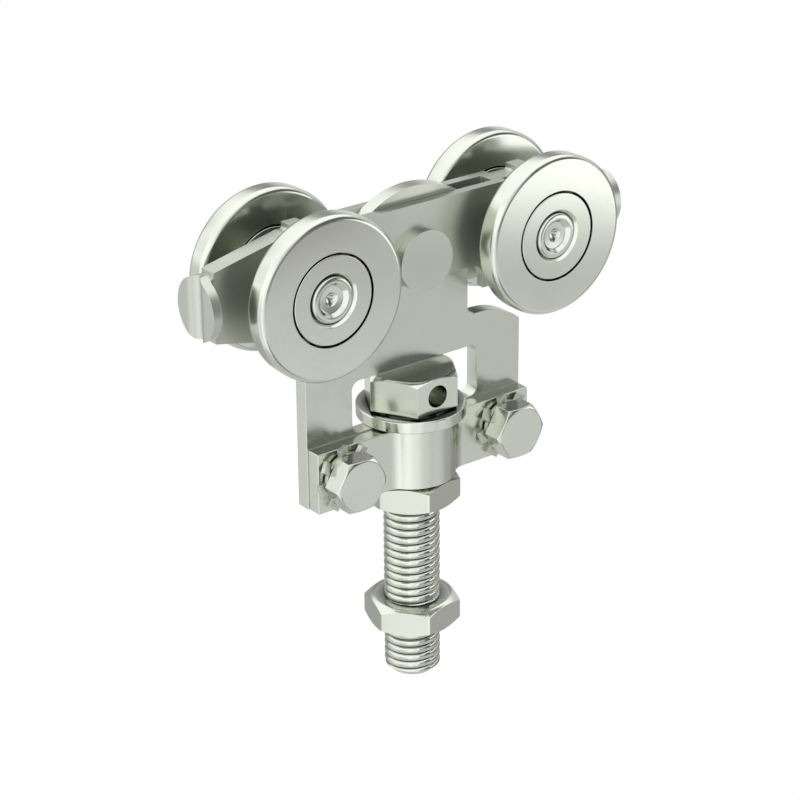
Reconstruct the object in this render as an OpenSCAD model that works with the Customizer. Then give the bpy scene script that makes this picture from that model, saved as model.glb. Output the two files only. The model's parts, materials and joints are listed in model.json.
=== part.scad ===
// Rail trolley for a slotted track. Two pressed side plates ride on four
// ball-bearing wheels, and a hanger plate swings between them on a riveted pin.
// A clamp plate closes a sleeve on the hanger, in which an M12 bolt swivels.
// The origin is the middle of the plane that the wheels run on. X is along the
// rail, Y across it with the clamp in front at -Y, and Z is up. Millimetres.

/* [Wheels] */
// Diameter of a wheel over its tread
wheel_d = 34; // [32:0.5:40]
// Width of a wheel between its flat faces
wheel_w = 5; // [4.6:0.1:7]
// Clear distance between the two wheels of one axle
wheel_gap = 15.3; // [14:0.1:20]
// Distance between the two axles
wheel_base = 56.4; // [56.2:0.2:66]
// Radius that rounds both edges of the tread
tread_edge_r = 1; // [0.4:0.1:1.4]

/* [Bearings] */
// Diameter of a bearing ball
ball_d = 3.2; // [2.6:0.1:3.6]
// Diameter of the circle on which the ball centres lie
ball_pitch_d = 18.7; // [18:0.1:22]
// Width of the open ring groove between a wheel and its inner ring
ring_groove = 0.4; // [0.3:0.05:0.8]
// Clearance between the balls and their two races
race_gap = 0.03; // [0.02:0.01:0.08]
// Gap between neighbouring balls
ball_gap = 0.2; // [0.1:0.05:1]
// Chamfer at the mouths of an inner ring's bore
ring_chamfer = 0.6; // [0.3:0.1:1]

/* [Axles] */
// Diameter of the axles
axle_d = 10; // [8:0.1:10.2]
// Radius that rounds the rim at each end of an axle
axle_rim_r = 0.7; // [0.3:0.1:1]
// Diameter of the dished recess in the end of an axle
dish_d = 7.2; // [5:0.1:7.6]
// Depth of that recess
dish_depth = 0.8; // [0.4:0.1:1.2]
// Diameter of the conical centre mark in the recess
centre_mark_d = 3; // [2:0.1:4]
// Outer diameter of the spacers between plates and inner rings
spacer_d = 11.5; // [11.2:0.05:11.6]

/* [Side plates] */
// Thickness of the side plates
plate_t = 2; // [1.5:0.1:3]
// Height of the side plates between the axles
plate_h = 22; // [20:0.5:26]
// Length over the turned ends of the side plates
beam_l = 103; // [98:0.5:120]
// Distance from the middle at which the plates start to taper
taper_x = 31.5; // [30:0.5:36]
// Radius of the half-round end lobes
lobe_r = 6.65; // [6:0.05:8]
// How far an end lobe reaches out from the seam
lobe_reach = 6.25; // [5.5:0.05:6.6]
// Inside radius of the bends at the plates' ends
bend_r = 1; // [0.5:0.1:1.5]
// Distance from the middle to the pressed step at each end of the slot
slot_half_l = 19.8; // [18:0.1:20]
// Thickness along the rail of the wall that the pressed step leaves
step_wall = 2.4; // [1.8:0.1:2.5]
// Radius inside and outside the pressed step
step_r = 0.4; // [0.2:0.05:0.8]
// Depth of the plates below the axles at the middle notch
notch_drop = 5.6; // [4.6:0.1:7]
// Distance from the middle to the ends of the notch
notch_half_l = 16; // [14:0.5:18]
// Radius of the notch's corners
notch_r = 3; // [1:0.5:4]
// Width of the lugs above the axles
lug_w = 3.4; // [3:0.1:6]
// Height of the lugs
lug_h = 1.4; // [0.8:0.1:2.4]
// Fillet at the foot of a lug
lug_fillet = 0.6; // [0.4:0.1:1.4]

/* [Pivot pin] */
// Height of the pivot above the axles
pivot_up = -0.8; // [-1:0.1:2]
// Diameter of the pivot pin
pivot_d = 7; // [6:0.2:7.4]
// Diameter of its two heads
pivot_head_d = 13; // [11:0.1:14]
// Thickness of its heads
pivot_head_t = 2; // [1.5:0.1:2.6]

/* [Hanger plate] */
// Thickness of the hanger and the clamp plate
hanger_t = 3.3; // [3:0.1:4]
// Clearance between the hanger and each side plate
hanger_gap = 0.08; // [0.05:0.01:0.3]
// Radius of the arch at the top of the hanger
arch_r = 20; // [19:0.1:22]
// Height of the arch's top above the axles
arch_up = 14.05; // [13:0.05:15]
// Width of the neck
neck_w = 27.4; // [24:0.2:28]
// Fillet between the neck and the shoulders
neck_fillet = 2; // [1:0.1:3]
// Distance of the shoulders below the axles
shoulder_drop = 17.2; // [16.8:0.1:20]
// Radius of the shoulders' outer slope
shoulder_r = 16.2; // [15:0.1:20]
// Distance from the middle at which the slope starts
shoulder_x = 17; // [16:0.5:19]
// Width over the legs
leg_span = 55.3; // [54:0.1:60]
// Width of the window over the sleeve
window_w = 32.4; // [30:0.2:34]
// Height of the window
window_h = 11.5; // [11:0.1:14]
// Radius of the window's corners
window_r = 2; // [1:0.1:2.5]
// Distance of the sleeve's top below the axles
sleeve_drop = 35.7; // [35:0.1:42]
// Height of the hanger's cross-piece and sleeve
sleeve_h = 13.55; // [12:0.05:18]

/* [Clamp plate] */
// How far the clamp plate's ends stay behind the hanger's legs
clamp_inset = 0.3; // [0:0.05:2]
// How far its upper edge stays below the sleeve's top
clamp_step = 0.3; // [0:0.05:2]
// Fillet between the half-sleeves and the flat wings
sleeve_fillet = 3.5; // [1.5:0.1:4]

/* [Clamp screws] */
// Thread diameter of the clamp screws
screw_d = 7; // [5:0.5:8]
// Width across the flats of a screw head
screw_af = 11; // [10:0.5:12]
// Height of a screw head
screw_head_h = 4.5; // [3.5:0.1:6]
// Distance of the screws from the ends of the clamp plate
screw_edge = 6.65; // [6.5:0.05:7.5]
// Height of the screws above the sleeve's bottom
screw_up = 6.8; // [6:0.1:8]
// Length of thread that stands out behind the hanger
screw_tip = 1.4; // [0.5:0.1:4]
// Radial clearance of the screws in the clamp plate
screw_gap = 0.3; // [0.2:0.05:0.5]
// Outer diameter of the toothed lock washers
lock_d = 14.2; // [13:0.1:15]
// Sheet thickness of a lock washer
lock_t = 1; // [0.7:0.05:1.2]
// Number of teeth on a lock washer
lock_teeth = 8; // [6:1:9]
// Angle of the first tooth above the horizontal
lock_phase = 10.5; // [0:0.5:45]
// Width of a tooth
tooth_w = 2.5; // [2:0.1:3.2]
// Twist of a tooth out of the washer's plane
tooth_twist = 20; // [14:0.5:30]

/* [Suspension bolt] */
// Thread diameter of the suspension bolt
bolt_d = 12; // [10:0.5:13]
// Width across the flats of its head
bolt_af = 18; // [17:0.5:22]
// Height of the head
bolt_head_h = 7.5; // [6:0.1:8]
// Height of the round collar under the head
bolt_collar_h = 0.5; // [0.3:0.1:1.2]
// Length of the bolt below its collar
bolt_l = 62.3; // [56:0.1:90]
// Chamfer at the end of the bolt
bolt_chamfer = 1.1; // [0.5:0.1:2]
// Width of the relief groove in the thread under the lower nut's seat
relief_w = 1; // [0.8:0.1:1.4]
// Depth of that groove
relief_depth = 0.6; // [0.3:0.1:1]
// Diameter of the hole across the head
cross_hole_d = 4.8; // [3:0.1:5]
// Height of that hole above the head's lower face
cross_hole_up = 3.5; // [3:0.1:4.2]
// Radial clearance of the bolt in the sleeve
bolt_gap = 0.08; // [0.02:0.01:0.1]
// Diameter of the washer under the head
washer_d = 23; // [22:0.5:28]
// Thickness of that washer
washer_t = 2.5; // [2:0.1:3]

/* [Nuts] */
// Width across the flats of the nuts
nut_af = 18; // [17:0.5:21]
// Height of a nut
nut_h = 6; // [5:0.5:10]
// Play between the sleeve and the upper nut
nut_play = 0.15; // [0.05:0.05:0.5]
// Clear distance between the two nuts
nut_apart = 22.8; // [10:0.2:26]
// Angle at which the nuts' corners stand
nut_turn = 13.4; // [0:0.1:60]

/* [Hidden] */
$fn = 96;
// Radial clearance of pieces that are pressed, riveted or screwed together
seat_gap = 0.02;
// Clearance of the pivot pin in the swinging hanger
pivot_gap = 0.08;
// Length by which a cutter passes through a face
over = 1;
// Length by which fillets run into the pieces that they join
lap = 0.3;
axle_z = wheel_d / 2;
axle_x = wheel_base / 2;
wheel_y = wheel_gap / 2 + wheel_w / 2;
axle_l = wheel_gap + 2 * wheel_w;
pivot_z = axle_z + pivot_up;
slot_half_w = hanger_t / 2 + hanger_gap;
beam_half_t = slot_half_w + plate_t;
sleeve_top = axle_z - sleeve_drop;
sleeve_bottom = sleeve_top - sleeve_h;
sleeve_bore_r = bolt_d / 2 + bolt_gap;
sleeve_r = sleeve_bore_r + hanger_t;
mating_y = -hanger_t / 2;
clamp_y = mating_y - hanger_t;
clamp_w = leg_span - 2 * clamp_inset;
clamp_h = sleeve_h - clamp_step;
screw_x = clamp_w / 2 - screw_edge;
screw_z = sleeve_bottom + screw_up;
lock_seat = tooth_w * sin(tooth_twist) + lock_t * cos(tooth_twist);
screw_head_y = clamp_y - lock_seat;
washer_top = sleeve_top + washer_t;
head_bottom = washer_top + bolt_collar_h;
bolt_end = washer_top - bolt_l;
upper_nut_top = sleeve_bottom - nut_play;
lower_nut_top = upper_nut_top - nut_h - nut_apart;
// Slope of the chamfers on hexagons, and the share of the width across flats that
// stays flat at their ends
hex_slope = 30;
hex_flat = 0.95;
// Radius from the width across flats to the corners
function hex_r(af) = af / sqrt(3);
// The four wheels: name, side along the rail and side across it
CORNERS = [["front_left", -1, -1], ["front_right", 1, -1], ["rear_left", -1, 1],
    ["rear_right", 1, 1]];
SIDES = [["left", -1], ["right", 1]];

// Moves a piece that is drawn along Z to an axle end, facing outwards along Y
module at_wheel(c) {
    translate([c[1] * axle_x, c[2] * wheel_y, axle_z]) rotate([-90 * c[2], 0, 0]) children();
}

// Turns the XY drawing plane into the upright XZ plane, with height h centred on Y
module upright(h) {
    rotate([90, 0, 0]) linear_extrude(h, center = true) children();
}

// What lies between a square corner at the origin and its fillet, with a lap
// that passes into the neighbouring piece or out of the cut one
module corner(r) {
    difference() {
        translate([-lap, -lap]) square(r + lap);
        translate([r, r]) circle(r);
    }
}

// Rectangle from x0, y0 with rounded corners
module round_rect(w, h, r) {
    difference() {
        square([w, h]);
        corner(r);
        translate([w, 0]) mirror([1, 0]) corner(r);
        translate([0, h]) mirror([0, 1]) corner(r);
        translate([w, h]) rotate(180) corner(r);
    }
}

// Hexagon across flats af from z = 0 to h, its corners cut back at the top or at
// both ends
module hexagon(af, h, both_ends = false, start = 0) {
    flat_r = hex_flat * af / 2;
    far_r = hex_r(af) + over;
    cut = (far_r - flat_r) * tan(hex_slope);
    intersection() {
        rotate(start) cylinder(r = hex_r(af), h = h, $fn = 6);
        rotate_extrude() polygon(concat(
            both_ends ? [[0, 0], [flat_r, 0], [far_r, cut]] : [[0, 0], [far_r, 0]],
            [[far_r, h - cut], [flat_r, h], [0, h]]));
    }
}

// Outer wheel ring with its half of the ball race
module wheel() {
    inner_r = ball_pitch_d / 2 + ring_groove / 2;
    color("gainsboro") rotate_extrude() difference() {
        translate([inner_r, -wheel_w / 2]) square([wheel_d / 2 - inner_r, wheel_w]);
        translate([ball_pitch_d / 2, 0]) circle(ball_d / 2 + race_gap);
        for (s = [-1, 1])
            translate([wheel_d / 2, s * wheel_w / 2]) rotate(s > 0 ? 180 : 90)
                corner(tread_edge_r);
    }
}

// Inner bearing ring, held on the axle
module inner_ring() {
    bore_r = axle_d / 2 + seat_gap;
    outer_r = ball_pitch_d / 2 - ring_groove / 2;
    color("gainsboro") rotate_extrude() difference() {
        translate([bore_r, -wheel_w / 2]) square([outer_r - bore_r, wheel_w]);
        translate([ball_pitch_d / 2, 0]) circle(ball_d / 2 + race_gap);
        for (s = [-1, 1])
            polygon([[bore_r - over, s * (wheel_w / 2 - ring_chamfer - over)],
                [bore_r + ring_chamfer + over, s * (wheel_w / 2 + over)],
                [bore_r - over, s * (wheel_w / 2 + over)]]);
    }
}

// Full set of loose balls in one wheel
module balls() {
    spacing = 2 * asin((ball_d + ball_gap) / ball_pitch_d);
    count = floor(360 / spacing);
    color("silver") for (i = [0 : count - 1])
        rotate(i * 360 / count) translate([ball_pitch_d / 2, 0, 0]) sphere(d = ball_d, $fn = 32);
}

// Half section of an axle, from the middle up to one end
module axle_half_section() {
    half = axle_l / 2;
    dish_r = dish_d / 2;
    mark_r = centre_mark_d / 2;
    difference() {
        square([axle_d / 2, half]);
        translate([axle_d / 2, half]) rotate(180) corner(axle_rim_r);
        polygon([[0, half - dish_depth], [dish_r - dish_depth, half - dish_depth],
            [dish_r + over, half + over], [0, half + over]]);
        polygon([[0, half - dish_depth - mark_r], [mark_r, half - dish_depth],
            [mark_r, half], [0, half]]);
    }
}

// Axle with a dished and centre-marked end in each wheel
module axle(side) {
    color("silver") translate([side * axle_x, 0, axle_z]) rotate([-90, 0, 0]) rotate_extrude() {
        axle_half_section();
        mirror([0, 1]) axle_half_section();
    }
}

// Distance tube between a side plate and an inner ring
module spacer() {
    reach = wheel_gap / 2 - plate_t;
    color("silver") translate([0, 0, -wheel_w / 2 - reach]) difference() {
        cylinder(d = spacer_d, h = reach);
        translate([0, 0, -over]) cylinder(r = axle_d / 2 + seat_gap, h = reach + 2 * over);
    }
}

// Plan of the right half of the front side plate. A pressed step brings it in to
// the seam, and a bend turns it outwards at the end.
module plate_plan() {
    step_x = slot_half_l + step_wall;
    end_x = beam_l / 2;
    bend_c = [end_x - plate_t - bend_r, -bend_r - plate_t];
    difference() {
        union() {
            translate([0, -beam_half_t]) square([step_x, plate_t]);
            translate([slot_half_l, -plate_t]) square([bend_c[0] - slot_half_l, plate_t]);
            translate([slot_half_l, -beam_half_t]) square([step_wall, beam_half_t]);
            translate([slot_half_l, -slot_half_w]) mirror([1, 0]) corner(step_r);
        }
        translate([slot_half_l, 0]) mirror([0, 1]) corner(step_r);
        translate([step_x, -beam_half_t]) mirror([1, 0]) corner(step_r);
    }
    intersection() {
        translate(bend_c) difference() {
            circle(bend_r + plate_t);
            circle(bend_r);
        }
        translate(bend_c) square(bend_r + plate_t);
    }
    translate([end_x - plate_t, -lobe_reach]) square([plate_t, lobe_reach + bend_c[1]]);
}

// Side view of the side plates, with the axle line at y = 0
module plate_outline() {
    h = plate_h / 2;
    end_x = beam_l / 2;
    tip_x = end_x + over;
    tip_h = lobe_r - over * (h - lobe_r) / (end_x - taper_x);
    difference() {
        union() {
            polygon([[-tip_x, -tip_h], [-taper_x, -h], [taper_x, -h], [tip_x, -tip_h],
                [tip_x, tip_h], [taper_x, h], [-taper_x, h], [-tip_x, tip_h]]);
            for (s = [-1, 1]) translate([s * axle_x, h]) {
                translate([-lug_w / 2, -over]) square([lug_w, lug_h + over]);
                for (m = [0, 1]) mirror([m, 0]) translate([lug_w / 2, 0]) corner(lug_fillet);
            }
        }
        translate([-notch_half_l, -h - over]) difference() {
            square([2 * notch_half_l, h + over - notch_drop]);
            translate([0, h + over - notch_drop]) mirror([0, 1]) corner(notch_r);
            translate([2 * notch_half_l, h + over - notch_drop]) rotate(180) corner(notch_r);
        }
    }
}

// Front side plate; the rear one is the same piece turned round
module side_plate() {
    end_bend_x = beam_l / 2 - plate_t - bend_r;
    color("silver") translate([0, 0, axle_z]) difference() {
        intersection() {
            translate([0, 0, -plate_h]) linear_extrude(2 * plate_h) {
                plate_plan();
                mirror([1, 0]) plate_plan();
            }
            upright(4 * lobe_reach) plate_outline();
            union() {
                cube([2 * end_bend_x, 4 * lobe_reach, 3 * plate_h], center = true);
                translate([0, lobe_r - lobe_reach, 0]) rotate([0, 90, 0])
                    cylinder(r = lobe_r, h = beam_l + 2 * over, center = true);
            }
        }
        for (s = [-1, 1]) translate([s * axle_x, over, 0]) rotate([90, 0, 0])
            cylinder(r = axle_d / 2 + seat_gap, h = 2 * beam_half_t);
        translate([0, over, pivot_up]) rotate([90, 0, 0])
            cylinder(r = pivot_d / 2 + seat_gap, h = 2 * beam_half_t);
    }
}

// Pin on which the hanger swings, riveted over both side plates
module pivot_pin() {
    color("darkgray") translate([0, 0, pivot_z]) rotate([90, 0, 0]) {
        cylinder(d = pivot_d, h = 2 * beam_half_t, center = true);
        for (s = [-1, 1]) translate([0, 0, s * (beam_half_t + pivot_head_t / 2)])
            cylinder(d = pivot_head_d, h = pivot_head_t, center = true);
    }
}

// Half of the hanger's outline without its window, with the axle line at y = 0
module hanger_half_outline() {
    slope_y = -shoulder_drop - shoulder_r;
    bottom = -sleeve_drop - sleeve_h;
    intersection() {
        translate([0, arch_up - arch_r]) circle(arch_r);
        translate([0, arch_up - arch_r]) square([neck_w / 2, arch_r + over]);
    }
    translate([0, bottom]) square([neck_w / 2, arch_up - arch_r - bottom]);
    translate([neck_w / 2, -shoulder_drop]) corner(neck_fillet);
    intersection() {
        translate([0, bottom]) square([leg_span / 2, -shoulder_drop - bottom]);
        union() {
            translate([0, bottom]) square([shoulder_x, -shoulder_drop - bottom]);
            translate([shoulder_x, slope_y]) circle(shoulder_r);
            translate([0, bottom]) square([leg_span / 2, slope_y - bottom]);
        }
    }
}

// Plan of one rounded foot of a half-sleeve on a flat wing whose face is at y
module sleeve_foot(y) {
    foot_y = y + sleeve_fillet;
    foot_x = sqrt(pow(sleeve_r + sleeve_fillet, 2) - pow(foot_y, 2));
    difference() {
        polygon([[0, 0], [foot_x, y], [foot_x, foot_y]]);
        translate([foot_x, foot_y]) circle(sleeve_fillet);
    }
}

// Plate that swings in the slot and carries the rear half of the sleeve
module hanger_plate() {
    color("silver") difference() {
        union() {
            translate([0, 0, axle_z]) upright(hanger_t) difference() {
                for (m = [0, 1]) mirror([m, 0]) hanger_half_outline();
                translate([-window_w / 2, -sleeve_drop]) round_rect(window_w, window_h, window_r);
            }
            translate([0, 0, sleeve_bottom]) linear_extrude(sleeve_h) intersection() {
                union() {
                    circle(sleeve_r);
                    for (m = [0, 1]) mirror([m, 0]) sleeve_foot(hanger_t / 2);
                }
                translate([-leg_span / 2, mating_y]) square([leg_span, sleeve_r - mating_y]);
            }
        }
        translate([0, 0, sleeve_bottom - over]) cylinder(r = sleeve_bore_r, h = sleeve_h + over);
        translate([0, 0, pivot_z]) rotate([90, 0, 0])
            cylinder(r = pivot_d / 2 + pivot_gap, h = 2 * hanger_t, center = true);
        for (s = [-1, 1]) translate([s * screw_x, 0, screw_z]) rotate([90, 0, 0])
            cylinder(r = screw_d / 2 + seat_gap, h = 2 * hanger_t, center = true);
    }
}

// Front half of the sleeve with its two screwed wings
module clamp_plate() {
    color("silver") translate([0, 0, sleeve_bottom]) difference() {
        linear_extrude(clamp_h) difference() {
            union() {
                translate([-clamp_w / 2, clamp_y]) square([clamp_w, hanger_t]);
                intersection() {
                    union() {
                        circle(sleeve_r);
                        for (m = [0, 1]) mirror([m, 0]) mirror([0, 1]) sleeve_foot(-clamp_y);
                    }
                    translate([-clamp_w / 2, -sleeve_r])
                        square([clamp_w, sleeve_r + mating_y]);
                }
            }
            circle(sleeve_bore_r);
        }
        for (s = [-1, 1]) translate([s * screw_x, mating_y + over, screw_up])
            rotate([90, 0, 0]) cylinder(r = screw_d / 2 + screw_gap, h = hanger_t + 2 * over);
    }
}

// Hexagon screw that holds the clamp plate to the hanger
module clamp_screw(side) {
    shank = -screw_head_y + hanger_t / 2 + screw_tip;
    color("gainsboro") translate([side * screw_x, screw_head_y, screw_z]) {
        rotate([90, 0, 0]) hexagon(screw_af, screw_head_h);
        rotate([-90, 0, 0]) {
            cylinder(d = screw_d, h = shank - screw_tip / 2);
            translate([0, 0, shank - screw_tip / 2])
                cylinder(d1 = screw_d, d2 = screw_d - screw_tip, h = screw_tip / 2);
        }
    }
}

// External-toothed lock washer, its teeth twisted out of the sheet
module lock_washer(side) {
    bore_r = screw_d / 2 + screw_gap;
    web_r = bore_r + (lock_d / 2 - bore_r) / 2;
    color("darkgray") translate([side * screw_x, clamp_y - lock_seat / 2, screw_z])
        rotate([90, 0, 0]) {
            difference() {
                cylinder(r = web_r, h = lock_t, center = true);
                cylinder(r = bore_r, h = 2 * lock_t, center = true);
            }
            for (i = [0 : lock_teeth - 1]) rotate(lock_phase + i * 360 / lock_teeth)
                translate([(web_r + lock_d / 2 - lock_t) / 2, 0, 0]) rotate([tooth_twist, 0, 0])
                    cube([lock_d / 2 - web_r + lock_t, tooth_w, lock_t], center = true);
        }
}

// Bolt that swivels in the sleeve, with a hole across its head. Its relief groove
// lies inside the lower nut's mouth and marks off the free end.
module suspension_bolt() {
    color("gainsboro") {
        translate([0, 0, head_bottom]) difference() {
            hexagon(bolt_af, bolt_head_h);
            translate([0, 0, cross_hole_up]) rotate([90, 0, 0])
                cylinder(d = cross_hole_d, h = 2 * bolt_af, center = true);
        }
        translate([0, 0, washer_top])
            cylinder(d = bolt_af - 2 * bolt_collar_h, h = bolt_collar_h);
        difference() {
            translate([0, 0, bolt_end + bolt_chamfer])
                cylinder(d = bolt_d, h = bolt_l - bolt_chamfer);
            translate([0, 0, lower_nut_top - nut_h]) rotate_extrude()
                translate([bolt_d / 2 - relief_depth, 0]) square([relief_depth + over, relief_w]);
        }
        translate([0, 0, bolt_end])
            cylinder(d1 = bolt_d - 2 * bolt_chamfer, d2 = bolt_d, h = bolt_chamfer);
    }
}

// Flat washer between the bolt's head and the sleeve
module bolt_washer() {
    color("gainsboro") translate([0, 0, sleeve_top]) difference() {
        cylinder(d = washer_d, h = washer_t);
        translate([0, 0, -over]) cylinder(r = sleeve_bore_r, h = washer_t + 2 * over);
    }
}

// Thin hexagon nut on the bolt, with its top at z
module nut(z) {
    bore_r = bolt_d / 2 + bolt_gap;
    mouth = 0.6;
    color("gainsboro") translate([0, 0, z - nut_h]) difference() {
        hexagon(nut_af, nut_h, both_ends = true, start = nut_turn);
        translate([0, 0, -over]) cylinder(r = bore_r, h = nut_h + 2 * over);
        translate([0, 0, nut_h - mouth]) cylinder(r1 = bore_r, r2 = bore_r + 2 * mouth, h = 2 * mouth);
        translate([0, 0, -mouth]) cylinder(r1 = bore_r + 2 * mouth, r2 = bore_r, h = 2 * mouth);
    }
}

side_plate();  // front_side_plate
rotate(180) side_plate();  // rear_side_plate
for (s = SIDES) {
    axle(s[1]);
    clamp_screw(s[1]);
    lock_washer(s[1]);
}
for (c = CORNERS) {
    at_wheel(c) spacer();
    at_wheel(c) inner_ring();
    at_wheel(c) wheel();
    at_wheel(c) balls();
}
pivot_pin();
hanger_plate();
clamp_plate();
suspension_bolt();
bolt_washer();
nut(upper_nut_top);  // upper_nut
nut(lower_nut_top);  // lower_nut
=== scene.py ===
"""Visual model of a rail trolley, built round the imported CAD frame."""

import json
import math

import bmesh
import bpy
from mathutils import Matrix, Vector


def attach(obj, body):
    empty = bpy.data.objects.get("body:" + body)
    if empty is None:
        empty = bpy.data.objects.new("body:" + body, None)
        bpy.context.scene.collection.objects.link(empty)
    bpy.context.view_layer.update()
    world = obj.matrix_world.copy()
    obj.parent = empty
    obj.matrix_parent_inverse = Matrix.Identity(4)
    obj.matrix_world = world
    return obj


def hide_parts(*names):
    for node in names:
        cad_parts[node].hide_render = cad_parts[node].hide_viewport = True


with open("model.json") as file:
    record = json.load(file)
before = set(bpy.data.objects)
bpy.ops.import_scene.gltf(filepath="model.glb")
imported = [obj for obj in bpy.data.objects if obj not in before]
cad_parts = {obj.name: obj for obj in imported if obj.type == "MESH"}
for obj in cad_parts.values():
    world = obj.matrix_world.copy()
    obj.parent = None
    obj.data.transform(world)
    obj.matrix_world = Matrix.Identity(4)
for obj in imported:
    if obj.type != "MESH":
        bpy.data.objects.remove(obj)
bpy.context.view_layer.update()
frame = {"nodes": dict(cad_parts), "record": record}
scene = bpy.context.scene
MM = 0.001

# ---------------------------------------------------------------- sizes (mm, degrees)
# X is along the rail, Y across it with the clamp plate in front at -Y, and Z is up.
SIDES = {"left": -1, "right": 1}
ROWS = {"front": -1, "rear": 1}

WHEEL_X, WHEEL_Y, AXLE_Z = 28.2, 10.15, 17.0   # middle of a wheel
WHEEL_R, WHEEL_BORE_R, HALF_WIDTH = 17, 9.55, 2.5
TREAD_EDGE_R, BORE_EDGE_R = 1.2, 0.12
PITCH_R, RACE_R, LAND = 9.35, 1.63, 0.2        # ball circle, groove, groove's edge from it
RING_R, RING_BORE_R, RING_CHAMFER = 9.15, 5.02, 0.6
RING_EDGE_R, RING_CHAMFER_EDGE_R = 0.2, 0.1

AXLE_R, AXLE_HALF_L = 5, 12.65
AXLE_TIP_R, AXLE_RIM_R, AXLE_STEP_Y = 4.82, 0.6, 11.1   # turned down at both ends
DISH_R, DISH_Y, MARK_R, MARK_Y = 3.6, 11.85, 1.5, 10.35  # dish and its conical centre mark

WASHER_R, WASHER_BORE_R, WASHER_EDGE_R = 11.5, 6.3, 0.25
SLEEVE_TOP, WASHER_TOP = -18.7, -16.2
HEAD_CUT, COLLAR_SHADE_Z = -16.19, -15.8        # the CAD bolt is kept above the first, and painted shade lies below the second
CROSS_HOLE_Z, CROSS_HOLE_R, HEAD_HALF_AF = -12.2, 2.4, 9.0
NECK_R, NECK_TOP, NECK_END, NECK_CHAMFER = 5.96, -16.3, -28.5, 0.6

NUTS = {"upper_nut": -38.4, "lower_nut": -67.2}  # height of a nut's lower face
NUT_H, NUT_AF, NUT_BORE_R, NUT_TURN = 6.0, 18, 5.93, 13.4
NUT_FLAT_R, NUT_SLOPE, NUT_CORNER_R = 8.55, 30, 0.35

SCREW_X, SCREW_Z, SCREW_HEAD_Y = 20.7, -25.45, -6.74

# Threads: lower end, upper end, crest radius, depth, pitch, chamfers below and above, sides
BOLT_THREAD = (-78.5, -28.2, 5.97, 0.64, 1.75, 1.1, 0.6, 96)
SCREW_THREAD = (-3.05, 6.5, 3.48, 0.5, 1.0, 0.7, 0.0, 48)

# One pitch of a rolled thread as shares of the pitch and of the depth. The crest is an arc.
CREST_END, CREST_DROP = 0.34, 0.25
CREST = [-0.34, -0.29, -0.23, -0.16, -0.08, 0.0, 0.08, 0.16, 0.23, 0.29, 0.34]
THREAD = ([(-0.5, 1.0), (-0.465, 0.92)] + [(q, CREST_DROP * (q / CREST_END) ** 2) for q in CREST]
          + [(0.465, 0.92)])

# Radius (mm) that rounds the edges of what is taken over from the solids, and its steps
ROUNDED = {
    "front_side_plate": (0.2, 3), "rear_side_plate": (0.2, 3),
    "hanger_plate": (0.2, 3), "clamp_plate": (0.2, 3),
    "left_lock_washer": (0.3, 3), "right_lock_washer": (0.3, 3),
    "pivot_pin": (0.05, 3),
}
HEAD_EDGE_R, SCREW_EDGE_R = 0.15, 0.12
SHARP_EDGE = 32        # edges above this angle stay sharp in the shading
ROUNDED_EDGE = 34      # edges above this angle are rounded

# ---------------------------------------------------------------- looks
# Metals of the material slots: colour and roughness
METAL_LOOKS = {
    "side_plate": ((0.565, 0.585, 0.52), 0.38),
    "axle": ((0.62, 0.64, 0.575), 0.18),
    "wheel": ((0.645, 0.665, 0.595), 0.2),
    "ring": ((0.645, 0.665, 0.595), 0.2),
    # The balls are coloured far darker than steel, as painted shade in the ball groove.
    "ball": ((0.16, 0.16, 0.15), 0.3),
    "hanger": ((0.645, 0.665, 0.59), 0.25),
    "bolt": ((0.62, 0.64, 0.57), 0.15),
    "washer": ((0.60, 0.62, 0.55), 0.45),
}
CLOUD_SCALE, CLOUD_DEPTH = 90.0, 0.05          # faint clouds in the tone
GRAIN_SCALE, GRAIN_SPREAD, GRAIN_BUMP = 900.0, 0.012, 0.003
PAINTED_SHADE_TONE = 0.12                             # what full painted shade leaves of the tone

# Walls of the studio as seen from the object: azimuth from -Y towards +X and elevation
# (degrees), each with half its width and the softness of its edge, and its brightness.
# Later ones are painted over earlier ones.
PLAIN_LIGHT = 0.85
WALLS = [
    # az, half, soft, el, half, soft, brightness
    (0, 180, 1, 65, 32, 14, 1.5),        # ceiling
    (-70, 55, 40, -8, 52, 30, 1.2),      # large pale wall, front left
    (-95, 65, 30, 18, 18, 10, 1.55),     # window light above it
    (-139, 9, 8, 16, 10, 8, 1.2),        # the window's frame
    (174, 30, 14, -10, 38, 10, 0.50),    # wall behind
    (50, 45, 30, -30, 32, 10, 0.88),     # table, front right
    (91, 36, 16, -20, 22, 10, 0.55),     # grey flag on the right
    (107, 22, 20, -20, 22, 10, 0.33),    # dark flag behind it
    (40, 28, 12, 11, 31.5, 7, 0.12),     # unlit side of the room, front right
    (5, 24, 8, -5, 8, 8, 0.28),          # shade beside the camera
    (5, 24, 8, -46, 12, 6, 0.26),        # shade under the camera
    (28, 9, 8, -22.5, 1.7, 2, 1.2),      # pale edge of the table
    (-84, 10, 14, -25, 14, 10, 0.9),     # duller part of the large pale wall
    (-4, 16, 16, -24, 9, 6, 1.0),        # pale band between the two shades
    (-30, 16, 6, -25, 32, 5, 1.25),      # softbox, front left
    (-46, 8, 4, -25, 32, 5, 1.5),        # its brighter left part
    (-17, 6, 4, 5, 7, 4, 1.8),           # small strip light
    (142, 14, 6, 21, 9, 6, 0.33),        # grey backdrop behind the object
    (142, 15, 3, -24, 17, 5, 1.0),       # white backdrop behind the object
]

# Lamp on the right, for the treads and plate ends there (m)
LAMP_AT, LAMP_AIM = (0.258, -0.222, -0.003), (0.03, 0, 0.03)
LAMP_SIZE, LAMP_RADIANCE = 0.17, 1.6

FLOOR_R, FLOOR_THICKNESS, FLOOR_Z = 0.27, 0.006, -0.303
FLOOR_TONES, FLOOR_ROUGHNESS = (0.54, 0.57), 0.8

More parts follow.
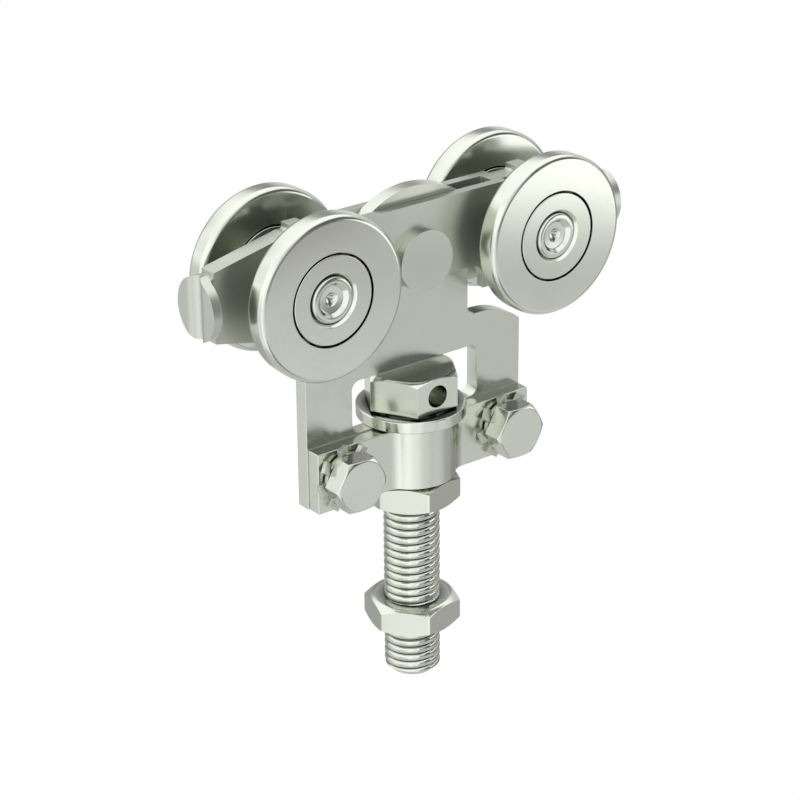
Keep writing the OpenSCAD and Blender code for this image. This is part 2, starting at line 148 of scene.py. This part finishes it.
# Camera fitted to the photograph
LENS, SENSOR = 114.165, 36.0
CAMERA_AT = (-0.292008, -0.378836, 0.198352)
CAMERA_RIGHT = Vector((0.79281717, -0.60941473, -0.00739031))
CAMERA_UP = Vector((0.25469534, 0.32028042, 0.91244218))


# ---------------------------------------------------------------- materials
def new_material(name):
    mat = bpy.data.materials.new(name)
    mat.use_nodes = True
    tree = mat.node_tree
    tree.nodes.clear()
    out = tree.nodes.new("ShaderNodeOutputMaterial")
    shader = tree.nodes.new("ShaderNodeBsdfPrincipled")
    tree.links.new(shader.outputs[0], out.inputs[0])
    return mat, tree, shader


def node(tree, kind, inputs=None, **props):
    """New shader node. Its inputs are values or the sockets that feed them."""
    made = tree.nodes.new(kind)
    for key, value in props.items():
        setattr(made, key, value)
    for key, value in (inputs or {}).items():
        if isinstance(value, bpy.types.NodeSocket):
            tree.links.new(value, made.inputs[key])
        else:
            made.inputs[key].default_value = value
    return made


def metal(name, color, rough):
    """Plated steel: uneven roughness, faint tone clouds, a fine grain and painted shade in its
    grooves and gaps.
    """
    mat, tree, shader = new_material(name)
    where = node(tree, "ShaderNodeTexCoord").outputs["Object"]
    cloud = node(tree, "ShaderNodeTexNoise",
                 {"Vector": where, "Scale": CLOUD_SCALE, "Detail": 4.0, "Roughness": 0.55})
    fine = node(tree, "ShaderNodeTexNoise",
                {"Vector": where, "Scale": GRAIN_SCALE, "Detail": 5.0, "Roughness": 0.6})
    tone = node(tree, "ShaderNodeMapRange",
                {"Value": cloud.outputs[0], "From Min": 0.3, "From Max": 0.7,
                 "To Min": 1.0 - CLOUD_DEPTH, "To Max": 1.0})
    # Painted shade, carried by the meshes in a vertex attribute: it darkens the tone in grooves,
    # gaps and under parts.
    painted_shade = node(tree, "ShaderNodeAttribute", attribute_name="painted_shade").outputs["Fac"]
    shade_factor = node(tree, "ShaderNodeMapRange",
                 {"Value": painted_shade, "To Min": 1.0, "To Max": PAINTED_SHADE_TONE})
    tone = node(tree, "ShaderNodeMath", {0: tone.outputs[0], 1: shade_factor.outputs[0]},
                operation="MULTIPLY")
    tint = node(tree, "ShaderNodeVectorMath", {0: color, "Scale": tone.outputs[0]},
                operation="SCALE")
    rough_at = node(tree, "ShaderNodeMapRange",
                    {"Value": fine.outputs[0], "From Min": 0.25, "From Max": 0.75,
                     "To Min": rough - GRAIN_SPREAD, "To Max": rough + GRAIN_SPREAD})
    relief = node(tree, "ShaderNodeBump",
                  {"Height": fine.outputs[0], "Strength": GRAIN_BUMP, "Distance": 0.0002})
    shader.inputs["Metallic"].default_value = 1.0
    tree.links.new(tint.outputs[0], shader.inputs["Base Color"])
    tree.links.new(rough_at.outputs[0], shader.inputs["Roughness"])
    tree.links.new(relief.outputs[0], shader.inputs["Normal"])
    return mat


# ---------------------------------------------------------------- studio
def make_camera():
    data = bpy.data.cameras.new("camera")
    data.sensor_width = SENSOR
    data.lens = LENS
    data.clip_start, data.clip_end = 0.01, 20.0
    cam = bpy.data.objects.new("camera", data)
    scene.collection.objects.link(cam)
    back = CAMERA_RIGHT.cross(CAMERA_UP)
    turn = Matrix((CAMERA_RIGHT, CAMERA_UP, back)).transposed()
    cam.matrix_world = Matrix.Translation(CAMERA_AT) @ turn.to_4x4()
    scene.camera = cam


def make_world():
    """World painted with WALLS, each blended over those before it."""
    world = bpy.data.worlds.new("studio")
    scene.world = world
    world.use_nodes = True
    tree = world.node_tree
    tree.nodes.clear()
    way = node(tree, "ShaderNodeSeparateXYZ",
               {0: node(tree, "ShaderNodeTexCoord").outputs["Generated"]})
    x, y, z = way.outputs

    def maths(operation, *values):
        return node(tree, "ShaderNodeMath", dict(enumerate(values)),
                    operation=operation).outputs[0]

    azimuth_here = maths("ARCTAN2", x, maths("MULTIPLY", y, -1.0))
    elevation_here = maths("ARCSINE", z)

    def within(angle, centre, half, soft):
        """1 where the angle lies within half of the centre, with a soft edge to 0."""
        off = maths("SUBTRACT", angle, math.radians(centre))
        off = maths("ABSOLUTE", maths("WRAP", off, math.pi, -math.pi))
        return node(tree, "ShaderNodeMapRange",
                    {"Value": off, "From Min": math.radians(half - soft / 2),
                     "From Max": math.radians(half + soft / 2), "To Min": 1.0, "To Max": 0.0},
                    interpolation_type="SMOOTHSTEP").outputs[0]

    light = node(tree, "ShaderNodeValue").outputs[0]
    light.default_value = PLAIN_LIGHT
    for azimuth, half, soft, elevation, tall, blur, value in WALLS:
        share = within(elevation_here, elevation, tall, blur)
        if half < 180:
            share = maths("MULTIPLY", share, within(azimuth_here, azimuth, half, soft))
        light = node(tree, "ShaderNodeMix", {"Factor": share, "A": light, "B": value},
                     data_type="FLOAT").outputs[0]
    sky = node(tree, "ShaderNodeBackground", {"Color": (1.0, 1.0, 1.0, 1), "Strength": light})
    out = node(tree, "ShaderNodeOutputWorld")
    tree.links.new(sky.outputs[0], out.inputs[0])


def make_lamp():
    """Square soft lamp, whose energy gives its face the radiance named above."""
    data = bpy.data.lights.new("right_softbox", "AREA")
    data.shape = "RECTANGLE"
    data.size, data.size_y = LAMP_SIZE, LAMP_SIZE
    data.energy = LAMP_RADIANCE * math.pi * LAMP_SIZE * LAMP_SIZE
    lamp = bpy.data.objects.new("right_softbox", data)
    lamp.location = LAMP_AT
    lamp.rotation_mode = "QUATERNION"
    lamp.rotation_quaternion = (Vector(LAMP_AT) - Vector(LAMP_AIM)).to_track_quat("Z", "Y")
    lamp.visible_camera = False
    scene.collection.objects.link(lamp)


def make_floor():
    """Round pale table under the hanging trolley."""
    bm = bmesh.new()
    bmesh.ops.create_cone(bm, cap_ends=True, segments=128, radius1=FLOOR_R, radius2=FLOOR_R,
                          depth=FLOOR_THICKNESS)
    mesh = bpy.data.meshes.new("floor")
    bm.to_mesh(mesh)
    bm.free()
    floor = bpy.data.objects.new("floor", mesh)
    floor.location = (0, 0, FLOOR_Z)
    scene.collection.objects.link(floor)
    mat, tree, shader = new_material("floor_white")
    where = node(tree, "ShaderNodeTexCoord").outputs["Object"]
    grain = node(tree, "ShaderNodeTexNoise", {"Vector": where, "Scale": 60.0, "Detail": 3.0})
    tone = node(tree, "ShaderNodeMapRange",
                {"Value": grain.outputs[0], "From Min": 0.3, "From Max": 0.7,
                 "To Min": FLOOR_TONES[0], "To Max": FLOOR_TONES[1]}).outputs[0]
    grey = node(tree, "ShaderNodeCombineColor", {0: tone, 1: tone, 2: tone})
    tree.links.new(grey.outputs[0], shader.inputs["Base Color"])
    shader.inputs["Roughness"].default_value = FLOOR_ROUGHNESS
    mesh.materials.append(mat)


scene.view_settings.view_transform = "Standard"
make_camera()
make_world()
make_lamp()
make_floor()

METALS = {name + "_steel": metal(name + "_metal", color, rough)
          for name, (color, rough) in METAL_LOOKS.items()}
record = frame["record"]
SLOTS = {s["node"]: s["material_slot"] for s in record["subparts"]}
BODY = {n: body for body, members in record["behaviour"]["bodies"].items() for n in members}
for name, obj in frame["nodes"].items():
    for held in obj.material_slots:
        held.material = METALS[SLOTS[name]]


# ---------------------------------------------------------------- meshes
def show(name, bm, stands_for, place=None):
    """Turns a built mesh into a piece that stands for a CAD node and moves with its body."""
    mesh = bpy.data.meshes.new(name)
    bmesh.ops.recalc_face_normals(bm, faces=bm.faces)
    bm.to_mesh(mesh)
    bm.free()
    mesh.shade_smooth()
    mesh.set_sharp_from_angle(angle=math.radians(SHARP_EDGE))
    obj = bpy.data.objects.new(name, mesh)
    if place:
        obj.matrix_world = place
    scene.collection.objects.link(obj)
    slot = SLOTS[stands_for]
    mesh.materials.append(METALS[slot])
    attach(obj, BODY[stands_for])
    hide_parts(stands_for)
    flats = obj.modifiers.new("even", "WEIGHTED_NORMAL")
    flats.keep_sharp = True


def solid_of(name, keep=None):
    """The shape of a CAD node, its flat faces joined. keep(point) picks the part that stays."""
    bm = bmesh.new()
    bm.from_mesh(frame["nodes"][name].data)
    bmesh.ops.remove_doubles(bm, verts=bm.verts, dist=2e-6)
    if keep:
        gone = [f for f in bm.faces if not keep(f.calc_center_median() / MM)]
        bmesh.ops.delete(bm, geom=gone, context="FACES")
        bmesh.ops.holes_fill(bm, edges=[e for e in bm.edges if e.is_boundary], sides=0)
    bmesh.ops.dissolve_limit(bm, angle_limit=math.radians(0.5), verts=bm.verts, edges=bm.edges,
                             use_dissolve_boundaries=False)
    return bm


def round_edges(bm, width, segments=3):
    """Rounds every edge that is sharper than ROUNDED_EDGE."""
    edges = [e for e in bm.edges if len(e.link_faces) == 2
             and math.degrees(e.calc_face_angle(0)) > ROUNDED_EDGE]
    bmesh.ops.bevel(bm, geom=edges, offset=width * MM, offset_type="OFFSET", segments=segments,
                    profile=0.5, affect="EDGES", clamp_overlap=True)


def with_painted_shade(bm, share):
    """Sets the painted shade of each vertex: share(x, y, z) with the place in mm."""
    painted_shade = bm.verts.layers.float.get("painted_shade") or bm.verts.layers.float.new("painted_shade")
    for v in bm.verts:
        v[painted_shade] = max(v[painted_shade], share(*(v.co / MM)))
    return bm


def joined(bm, other, turn=None):
    """Adds another built mesh to bm, moved by the matrix turn."""
    mesh = bpy.data.meshes.new("joined")
    if turn:
        other.transform(turn)
    other.to_mesh(mesh)
    other.free()
    bm.from_mesh(mesh)
    bpy.data.meshes.remove(mesh)
    return bm


def arc(cx, cy, r, first, last, steps):
    """Points on an arc, with its angles in degrees."""
    angles = [math.radians(first + (last - first) * k / steps) for k in range(steps + 1)]
    return [(cx + r * math.cos(t), cy + r * math.sin(t)) for t in angles]


def rounded(points, steps=5):
    """Outline whose corners (x, y, radius) are replaced by arcs."""
    out = []
    for i, p in enumerate(points):
        here = Vector(p[:2])
        if len(p) < 3 or p[2] <= 0:
            out.append(tuple(here))
            continue
        a = (Vector(points[i - 1][:2]) - here).normalized()
        b = (Vector(points[(i + 1) % len(points)][:2]) - here).normalized()
        half = math.acos(max(-1.0, min(1.0, a.dot(b)))) / 2
        centre = here + (a + b).normalized() * (p[2] / math.sin(half))
        start = here + a * (p[2] / math.tan(half)) - centre
        end = here + b * (p[2] / math.tan(half)) - centre
        first = math.atan2(start.y, start.x)
        turn = (math.atan2(end.y, end.x) - first + math.pi) % (2 * math.pi) - math.pi
        for k in range(steps + 1):
            t = first + turn * k / steps
            out.append((centre.x + p[2] * math.cos(t), centre.y + p[2] * math.sin(t)))
    return out


def lathe(bm, profile, turns=144):
    """Closed profile of (radius, height) points in mm turned round Z."""
    rings = []
    for r, z in profile:
        if r < 1e-6:
            rings.append([bm.verts.new((0, 0, z * MM))] * turns)
        else:
            rings.append([bm.verts.new((r * MM * math.cos(2 * math.pi * k / turns),
                                        r * MM * math.sin(2 * math.pi * k / turns), z * MM))
                          for k in range(turns)])
    for i, ring in enumerate(rings):
        after = rings[(i + 1) % len(rings)]
        for k in range(turns):
            corners = []
            for v in (ring[k], ring[(k + 1) % turns], after[(k + 1) % turns], after[k]):
                if v not in corners:
                    corners.append(v)
            if len(corners) > 2:
                bm.faces.new(corners)
    return bm


def thread(bm, low, high, crest, depth, pitch, chamfer, top_chamfer, sides):
    """Closed screw thread round Z from low to high (mm), with painted shade in its roots."""
    first = math.floor(low / pitch) - 2
    last = math.ceil(high / pitch) + 2

    def depth_at(share):
        share = (share + 0.5) % 1.0 - 0.5
        ring = THREAD + [(0.5, 1.0)]
        for (s0, d0), (s1, d1) in zip(ring, ring[1:]):
            if s0 <= share <= s1:
                return d0 + (d1 - d0) * (share - s0) / (s1 - s0)
        return 1.0

    painted_shade = bm.verts.layers.float.new("painted_shade")
    rows = []
    for turn in range(first, last):
        for share, _ in THREAD:
            row = []
            for k in range(sides + 1):
                lift = k / sides
                z = min(high, max(low, (turn + share + lift) * pitch))
                share_in = depth_at(z / pitch - lift)
                r = crest - depth * share_in
                r = min(r, crest - chamfer + (z - low))
                if top_chamfer:
                    r = min(r, crest - top_chamfer + (high - z))
                t = 2 * math.pi * lift
                row.append(bm.verts.new((r * MM * math.cos(t), r * MM * math.sin(t), z * MM)))
                # painted shade in the thread's roots, deepest at the root
                row[-1][painted_shade] = min(1.0, max(0.0, (share_in - 0.3) / 0.5))
            rows.append(row)
    for below, above in zip(rows, rows[1:]):
        for k in range(sides):
            bm.faces.new((below[k], below[k + 1], above[k + 1], above[k]))
    bmesh.ops.remove_doubles(bm, verts=bm.verts, dist=5e-7)
    bmesh.ops.dissolve_degenerate(bm, edges=bm.edges, dist=1e-8)
    bmesh.ops.holes_fill(bm, edges=[e for e in bm.edges if e.is_boundary], sides=0)
    return bm


def hexagon_nut(bm, low, high, turns=288):
    """Hexagon nut round Z (mm), both its ends chamfered by a cone, with rounded corners."""
    def reach(t):
        """Distance of the nut's side from its axis at the angle t."""
        off = (t - NUT_TURN + 30) % 60 - 30
        straight = NUT_AF / 2 / math.cos(math.radians(30 - abs(off)))
        far = NUT_AF / 2 / math.cos(math.radians(30))
        top = far - NUT_CORNER_R * (1 / math.cos(math.radians(30)) - 1)
        side = abs(off) / math.degrees(NUT_CORNER_R * math.tan(math.radians(30)) / far)
        return straight if side > 1 else min(straight, top - (far - top) * side * side * 0.2)

    inner = NUT_FLAT_R - 0.6   # keeps the long faces of the flat ends off the chamfer
    rows = [[] for _ in range(8)]
    for k in range(turns):
        t = 360.0 * k / turns
        r = reach(t)
        drop = max(0.0, r - NUT_FLAT_R) * math.tan(math.radians(NUT_SLOPE))
        c, s = math.cos(math.radians(t)) * MM, math.sin(math.radians(t)) * MM
        spots = [(NUT_BORE_R, low), (inner, low), (min(NUT_FLAT_R, r), low), (r, low + drop),
                 (r, high - drop), (min(NUT_FLAT_R, r), high), (inner, high),
                 (NUT_BORE_R, high)]
        for row, (q, z) in zip(rows, spots):
            row.append(bm.verts.new((q * c, q * s, z * MM)))
    for row, after in zip(rows, rows[1:] + rows[:1]):
        for k in range(turns):
            bm.faces.new((row[k], row[(k + 1) % turns], after[(k + 1) % turns], after[k]))
    return bm


# ---------------------------------------------------------------- wheels and axles
def at_wheel(side, row):
    """Frame of a wheel: its Z points outwards along the axle."""
    turn = Matrix.Rotation(math.radians(90 if row < 0 else -90), 4, "X")
    return Matrix.Translation((side * WHEEL_X * MM, row * WHEEL_Y * MM, AXLE_Z * MM)) @ turn


def wheel_profile():
    lip = math.degrees(math.acos(LAND / RACE_R))
    outline = rounded([(WHEEL_BORE_R, -HALF_WIDTH, BORE_EDGE_R),
                       (WHEEL_R, -HALF_WIDTH, TREAD_EDGE_R),
                       (WHEEL_R, HALF_WIDTH, TREAD_EDGE_R),
                       (WHEEL_BORE_R, HALF_WIDTH, BORE_EDGE_R)])
    return outline + arc(PITCH_R, 0, RACE_R, lip, -lip, 14)


def inner_ring_profile():
    lip = math.degrees(math.acos(-LAND / RACE_R))
    mouth_r, mouth_y = RING_BORE_R + RING_CHAMFER, HALF_WIDTH - RING_CHAMFER
    half = [(RING_R, HALF_WIDTH, RING_EDGE_R), (mouth_r, HALF_WIDTH, RING_CHAMFER_EDGE_R),
            (RING_BORE_R, mouth_y, RING_CHAMFER_EDGE_R)]
    outline = rounded(half + [(r, -z, edge) for r, z, edge in reversed(half)])
    return outline + arc(PITCH_R, 0, RACE_R, -lip, lip - 360, 14)


def axle_profile():
    """One end of the axle from its middle, mirrored for the other end."""
    half = rounded([(AXLE_R, 0), (AXLE_R, AXLE_STEP_Y - 0.2), (AXLE_TIP_R, AXLE_STEP_Y),
                    (AXLE_TIP_R, AXLE_HALF_L, AXLE_RIM_R), (DISH_R, AXLE_HALF_L, 0.2),
                    (2.8, DISH_Y, 0.35), (MARK_R, DISH_Y, 0.1), (0, MARK_Y), (0, 0)])[1:-1]
    return half + [(r, -z) for r, z in reversed(half)]


for row_name, row in ROWS.items():
    for side_name, side in SIDES.items():
        corner = row_name + "_" + side_name
        # Painted shade in the gap where the tyre's bore meets the inner ring's outer edge.
        tyre = with_painted_shade(lathe(bmesh.new(), wheel_profile(), 192),
                      lambda x, y, z: float(math.hypot(x, y) < WHEEL_BORE_R + 0.05))
        show(corner + "_tyre", tyre, corner + "_wheel", at_wheel(side, row))
        race = with_painted_shade(lathe(bmesh.new(), inner_ring_profile()),
                      lambda x, y, z: float(math.hypot(x, y) > RING_R - 0.03))
        show(corner + "_race", race, corner + "_inner_ring", at_wheel(side, row))

for side_name, side in SIDES.items():
    show(side_name + "_spindle", lathe(bmesh.new(), axle_profile(), 96), side_name + "_axle",
         Matrix.Translation((side * WHEEL_X * MM, 0, AXLE_Z * MM))
         @ Matrix.Rotation(math.radians(90), 4, "X"))

# ---------------------------------------------------------------- plates, washers and nuts
for name, (width, segments) in ROUNDED.items():
    solid = solid_of(name)
    round_edges(solid, width, segments)
    show("round_" + name, solid, name)


def washer_painted_shade(x, y, z):
    """Painted shade under the bolt's head, and a little beside it."""
    r = math.hypot(x, y)
    return 1.0 if r < 9.5 else 0.3 * float(r < 11)


washer = [(WASHER_BORE_R, SLEEVE_TOP), (WASHER_R, SLEEVE_TOP, WASHER_EDGE_R),
          (WASHER_R, WASHER_TOP, WASHER_EDGE_R), (10.4, WASHER_TOP), (9.4, WASHER_TOP),
          (WASHER_BORE_R, WASHER_TOP)]
show("plain_washer", with_painted_shade(lathe(bmesh.new(), rounded(washer, 4)), washer_painted_shade),
     "bolt_washer")

for name, low in NUTS.items():
    # Painted reflection of the thread: darker round the nut's bore.
    nut = with_painted_shade(hexagon_nut(bmesh.new(), low, low + NUT_H),
                 lambda x, y, z: 0.75 * float(math.hypot(x, y) < NUT_BORE_R + 0.07))
    show("plain_" + name, nut, name)


# ---------------------------------------------------------------- bolt and clamp screws
def head_painted_shade(x, y, z):
    """Painted shade below the head, and lighter painted shade on the wall of the cross hole."""
    in_hole = (math.hypot(x, z - CROSS_HOLE_Z) < CROSS_HOLE_R + 0.003
               and abs(y) < HEAD_HALF_AF - 0.03)
    return max(float(z < COLLAR_SHADE_Z), 0.25 * float(in_hole))


# Bolt: its head from the solid, a plain neck in the sleeve and a rolled thread below
bolt = solid_of("suspension_bolt", lambda p: p.z > HEAD_CUT)
round_edges(bolt, HEAD_EDGE_R)
with_painted_shade(bolt, head_painted_shade)
neck = [(0, NECK_TOP), (NECK_R, NECK_TOP), (NECK_R, NECK_END + NECK_CHAMFER),
        (NECK_R - 0.56, NECK_END), (0, NECK_END)]
joined(bolt, lathe(bmesh.new(), neck, 96))
joined(bolt, thread(bmesh.new(), *BOLT_THREAD))
show("swivel_bolt", bolt, "suspension_bolt")

# Clamp screws: heads from the solids and threaded shanks
for side_name, side in SIDES.items():
    screw = solid_of(side_name + "_clamp_screw", lambda p: p.y < SCREW_HEAD_Y)
    round_edges(screw, SCREW_EDGE_R)
    joined(screw, thread(bmesh.new(), *SCREW_THREAD),
           Matrix.Translation((side * SCREW_X * MM, 0, SCREW_Z * MM))
           @ Matrix.Rotation(math.radians(90), 4, "X"))
    show(side_name + "_hex_screw", screw, side_name + "_clamp_screw")
